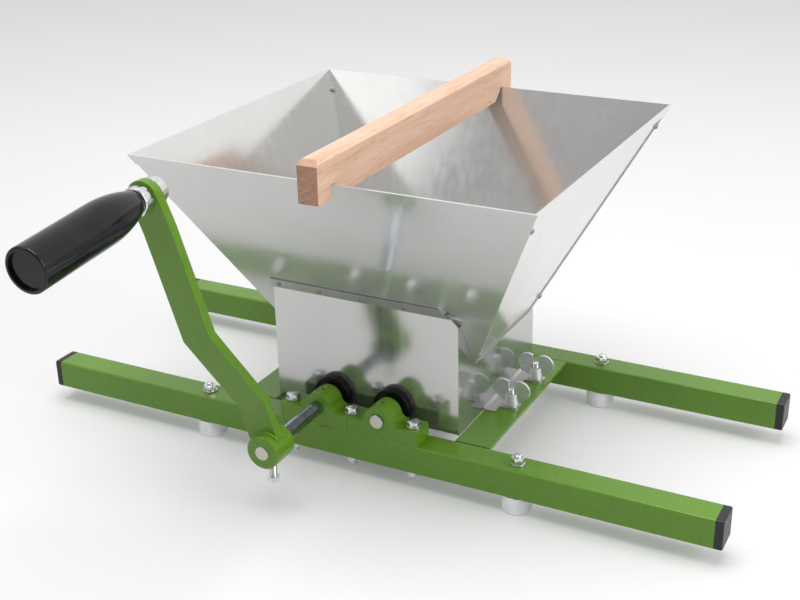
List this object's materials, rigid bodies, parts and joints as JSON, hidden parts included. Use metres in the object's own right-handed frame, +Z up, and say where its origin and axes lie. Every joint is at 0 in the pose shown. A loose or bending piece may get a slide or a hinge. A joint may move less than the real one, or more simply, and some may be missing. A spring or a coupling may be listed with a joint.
{
  "type": "two-roller fruit and grape crusher",
  "caption": "Hand-cranked fruit and grape crusher: a tapered steel hopper over two geared rollers, on a frame of two rails that lies across a tub, with a lift-off wooden bar.",
  "frame": {"origin": "middle of the frame in plan, at the level that the feet stand on", "axes": "+X along the rails, +Y from the crank side to the gear side, +Z up"},
  "size_m": [0.62, 0.5216, 0.2908],
  "materials": {
    "green_paint": "semi-gloss powder coat",
    "stainless_sheet": "satin sheet",
    "zinc_plate": "bright zinc plate",
    "machined_steel": "turned and milled",
    "cast_aluminium": "fine cast",
    "black_plastic": "moulded",
    "black_nylon": "turned",
    "black_gloss": "polished",
    "white_plastic": "moulded",
    "beech": "planed and oiled"
  },
  "bodies": {
    "frame": {"bearing_bolts": "zinc_plate", "bearing_nuts": "zinc_plate", "bearing_washers": "zinc_plate", "box_front_plate": "stainless_sheet", "box_left_wall": "stainless_sheet", "box_rear_plate": "stainless_sheet", "box_right_wall": "stainless_sheet", "box_rivets": "stainless_sheet", "clamp_studs": "zinc_plate", "clamp_washers": "zinc_plate", "foot_bolts": "zinc_plate", "foot_nuts": "zinc_plate", "foot_washers": "zinc_plate", "front_left_bearing_block": "green_paint", "front_left_cap": "black_plastic", "front_left_foot": "white_plastic", "front_rail": "green_paint", "front_right_bearing_block": "green_paint", "front_right_cap": "black_plastic", "front_right_foot": "white_plastic", "hopper_front_panel": "stainless_sheet", "hopper_left_panel": "stainless_sheet", "hopper_rear_panel": "stainless_sheet", "hopper_right_panel": "stainless_sheet", "hopper_rivets": "stainless_sheet", "left_cross_member": "green_paint", "rear_left_bearing_block": "green_paint", "rear_left_cap": "black_plastic", "rear_left_foot": "white_plastic", "rear_rail": "green_paint", "rear_right_bearing_block": "green_paint", "rear_right_cap": "black_plastic", "rear_right_foot": "white_plastic", "right_cross_member": "green_paint", "shaft_seals": "black_nylon"},
    "crank": {"drive_shaft": "machined_steel", "drive_roller": "cast_aluminium", "drive_gear": "machined_steel", "drive_pins": "machined_steel", "crank_hub": "green_paint", "crank_arm": "green_paint", "crank_set_screw": "zinc_plate", "grip_spindle": "zinc_plate", "grip_nuts": "zinc_plate"},
    "driven": {"driven_shaft": "machined_steel", "driven_roller": "cast_aluminium", "driven_gear": "machined_steel", "driven_pins": "machined_steel"},
    "grip": {"grip": "black_gloss"},
    "bar": {"wooden_bar": "beech"},
    "front_left_nut": {"front_left_wing_nut": "zinc_plate"},
    "front_right_nut": {"front_right_wing_nut": "zinc_plate"},
    "rear_left_nut": {"rear_left_wing_nut": "zinc_plate"},
    "rear_right_nut": {"rear_right_wing_nut": "zinc_plate"}
  },
  "joints": [
    {"name": "crank_turn", "type": "hinge", "parent": "frame", "child": "crank", "pos_m": [-0.029, 0, 0.0555], "axis": [0, 1, 0], "continuous": true},
    {"name": "driven_turn", "type": "hinge", "parent": "frame", "child": "driven", "pos_m": [0.027, 0, 0.0555], "axis": [0, 1, 0], "continuous": true},
    {"name": "grip_spin", "type": "hinge", "parent": "crank", "child": "grip", "pos_m": [-0.0972, -0.23076, 0.26171], "axis": [0.0252, -0.9968, -0.0761], "continuous": true},
    {"name": "bar_lift", "type": "slide", "parent": "frame", "child": "bar", "axis": [0, 0, 1], "range_m": [0, 0.06]},
    {"name": "front_left_nut_turn", "type": "hinge", "parent": "frame", "child": "front_left_nut", "pos_m": [-0.1033, -0.012, 0.05], "axis": [0, 0, 1], "continuous": true},
    {"name": "front_right_nut_turn", "type": "hinge", "parent": "frame", "child": "front_right_nut", "pos_m": [0.1033, -0.012, 0.05], "axis": [0, 0, 1], "continuous": true},
    {"name": "rear_left_nut_turn", "type": "hinge", "parent": "frame", "child": "rear_left_nut", "pos_m": [-0.1033, 0.0427, 0.05], "axis": [0, 0, 1], "continuous": true},
    {"name": "rear_right_nut_turn", "type": "hinge", "parent": "frame", "child": "rear_right_nut", "pos_m": [0.1033, 0.0427, 0.05], "axis": [0, 0, 1], "continuous": true}
  ],
  "couplings": [
    {"joint": "driven_turn", "follows": "crank_turn", "ratio": -1}
  ]
}
